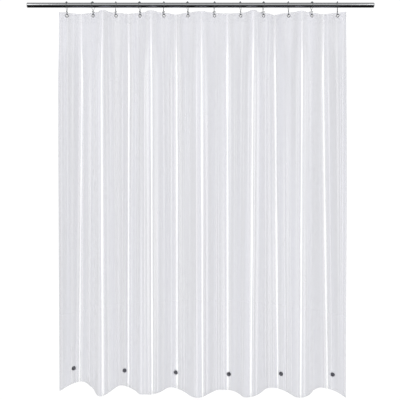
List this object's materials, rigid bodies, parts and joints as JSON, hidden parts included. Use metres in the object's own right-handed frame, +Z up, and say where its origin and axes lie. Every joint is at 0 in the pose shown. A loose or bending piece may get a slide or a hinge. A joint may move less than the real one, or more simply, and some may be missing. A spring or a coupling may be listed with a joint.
{
  "type": "shower curtain",
  "caption": "Clear film shower curtain liner hanging in waves from roller hooks on a round rod, with metal eyelets and magnets along the hem.",
  "frame": {"origin": "middle of the rod, on its axis; whatever holds the rod holds it there", "axes": "+X along the rod to the right as seen from the front, +Y away from the viewer into the tub side, +Z up"},
  "size_m": [1.67, 0.178, 1.8826],
  "materials": {
    "film": "clear, slightly milky soft plastic film with a satin gloss",
    "rod_chrome": "polished",
    "hook_steel": "polished wire and balls",
    "grommet_steel": "nickel-plated, semi-bright",
    "magnet": "dark ferrite, matte",
    "plug": "moulded, satin"
  },
  "bodies": {
    "rod": {"rod_tube": "rod_chrome", "rod_plug_left": "plug", "rod_plug_right": "plug"},
    "lead_rollers": {"hook_01_rollers": "hook_steel"},
    "curtain": {"hook_01_wire": "hook_steel", "grommet_01": "grommet_steel", "film_sheet": "film", "header_band": "film"},
    "hook_02": {"hook_02_wire": "hook_steel", "hook_02_rollers": "hook_steel", "grommet_02": "grommet_steel"},
    "hook_03": {"hook_03_wire": "hook_steel", "hook_03_rollers": "hook_steel", "grommet_03": "grommet_steel"},
    "hook_04": {"hook_04_wire": "hook_steel", "hook_04_rollers": "hook_steel", "grommet_04": "grommet_steel"},
    "hook_05": {"hook_05_wire": "hook_steel", "hook_05_rollers": "hook_steel", "grommet_05": "grommet_steel"},
    "hook_06": {"hook_06_wire": "hook_steel", "hook_06_rollers": "hook_steel", "grommet_06": "grommet_steel"},
    "hook_07": {"hook_07_wire": "hook_steel", "hook_07_rollers": "hook_steel", "grommet_07": "grommet_steel"},
    "hook_08": {"hook_08_wire": "hook_steel", "hook_08_rollers": "hook_steel", "grommet_08": "grommet_steel"},
    "hook_09": {"hook_09_wire": "hook_steel", "hook_09_rollers": "hook_steel", "grommet_09": "grommet_steel"},
    "hook_10": {"hook_10_wire": "hook_steel", "hook_10_rollers": "hook_steel", "grommet_10": "grommet_steel"},
    "hook_11": {"hook_11_wire": "hook_steel", "hook_11_rollers": "hook_steel", "grommet_11": "grommet_steel"},
    "hook_12": {"hook_12_wire": "hook_steel", "hook_12_rollers": "hook_steel", "grommet_12": "grommet_steel"},
    "hem_magnet_1": {"magnet_1": "magnet", "magnet_patch_1": "film"},
    "hem_magnet_2": {"magnet_2": "magnet", "magnet_patch_2": "film"},
    "hem_magnet_3": {"magnet_3": "magnet", "magnet_patch_3": "film"},
    "hem_magnet_4": {"magnet_4": "magnet", "magnet_patch_4": "film"},
    "hem_magnet_5": {"magnet_5": "magnet", "magnet_patch_5": "film"},
    "hem_magnet_6": {"magnet_6": "magnet", "magnet_patch_6": "film"}
  },
  "joints": [
    {"name": "glide", "type": "slide", "parent": "rod", "child": "lead_rollers", "axis": [1, 0, 0], "range_m": [-0.15, 0.15]},
    {"name": "swing", "type": "hinge", "parent": "lead_rollers", "child": "curtain", "pos_m": [-0.643, 0, 0], "axis": [1, 0, 0], "range_deg": [-12, 12]},
    {"name": "draw", "type": "slide", "parent": "curtain", "child": "hook_12", "axis": [-1, 0, 0], "range_m": [0, 0.912], "deforming": ["film_sheet", "header_band"]},
    {"name": "draw_hook_02", "type": "slide", "parent": "curtain", "child": "hook_02", "axis": [-1, 0, 0], "range_m": [0, 0.0883]},
    {"name": "draw_hook_03", "type": "slide", "parent": "curtain", "child": "hook_03", "axis": [-1, 0, 0], "range_m": [0, 0.1656]},
    {"name": "draw_hook_04", "type": "slide", "parent": "curtain", "child": "hook_04", "axis": [-1, 0, 0], "range_m": [0, 0.2464]},
    {"name": "draw_hook_05", "type": "slide", "parent": "curtain", "child": "hook_05", "axis": [-1, 0, 0], "range_m": [0, 0.3272]},
    {"name": "draw_hook_06", "type": "slide", "parent": "curtain", "child": "hook_06", "axis": [-1, 0, 0], "range_m": [0, 0.408]},
    {"name": "draw_hook_07", "type": "slide", "parent": "curtain", "child": "hook_07", "axis": [-1, 0, 0], "range_m": [0, 0.498]},
    {"name": "draw_hook_08", "type": "slide", "parent": "curtain", "child": "hook_08", "axis": [-1, 0, 0], "range_m": [0, 0.5858]},
    {"name": "draw_hook_09", "type": "slide", "parent": "curtain", "child": "hook_09", "axis": [-1, 0, 0], "range_m": [0, 0.6631]},
    {"name": "draw_hook_10", "type": "slide", "parent": "curtain", "child": "hook_10", "axis": [-1, 0, 0], "range_m": [0, 0.7474]},
    {"name": "draw_hook_11", "type": "slide", "parent": "curtain", "child": "hook_11", "axis": [-1, 0, 0], "range_m": [0, 0.8261]},
    {"name": "draw_magnet_1", "type": "slide", "parent": "curtain", "child": "hem_magnet_1", "axis": [-1, 0, 0], "range_m": [0, 0.0085]},
    {"name": "draw_magnet_2", "type": "slide", "parent": "curtain", "child": "hem_magnet_2", "axis": [-1, 0, 0], "range_m": [0, 0.1882]},
    {"name": "draw_magnet_3", "type": "slide", "parent": "curtain", "child": "hem_magnet_3", "axis": [-1, 0, 0], "range_m": [0, 0.3654]},
    {"name": "draw_magnet_4", "type": "slide", "parent": "curtain", "child": "hem_magnet_4", "axis": [-1, 0, 0], "range_m": [0, 0.5468]},
    {"name": "draw_magnet_5", "type": "slide", "parent": "curtain", "child": "hem_magnet_5", "axis": [-1, 0, 0], "range_m": [0, 0.7244]},
    {"name": "draw_magnet_6", "type": "slide", "parent": "curtain", "child": "hem_magnet_6", "axis": [-1, 0, 0], "range_m": [0, 0.8989]}
  ],
  "couplings": [
    {"joint": "draw_hook_02", "follows": "draw", "ratio": 0.09628},
    {"joint": "draw_hook_03", "follows": "draw", "ratio": 0.18105},
    {"joint": "draw_hook_04", "follows": "draw", "ratio": 0.26966},
    {"joint": "draw_hook_05", "follows": "draw", "ratio": 0.35827},
    {"joint": "draw_hook_06", "follows": "draw", "ratio": 0.44687},
    {"joint": "draw_hook_07", "follows": "draw", "ratio": 0.54545},
    {"joint": "draw_hook_08", "follows": "draw", "ratio": 0.64173},
    {"joint": "draw_hook_09", "follows": "draw", "ratio": 0.72651},
    {"joint": "draw_hook_10", "follows": "draw", "ratio": 0.81895},
    {"joint": "draw_hook_11", "follows": "draw", "ratio": 0.90526},
    {"joint": "draw_magnet_1", "follows": "draw", "ratio": 0.0088},
    {"joint": "draw_magnet_2", "follows": "draw", "ratio": 0.20582},
    {"joint": "draw_magnet_3", "follows": "draw", "ratio": 0.40013},
    {"joint": "draw_magnet_4", "follows": "draw", "ratio": 0.599},
    {"joint": "draw_magnet_5", "follows": "draw", "ratio": 0.79371},
    {"joint": "draw_magnet_6", "follows": "draw", "ratio": 0.98505}
  ]
}
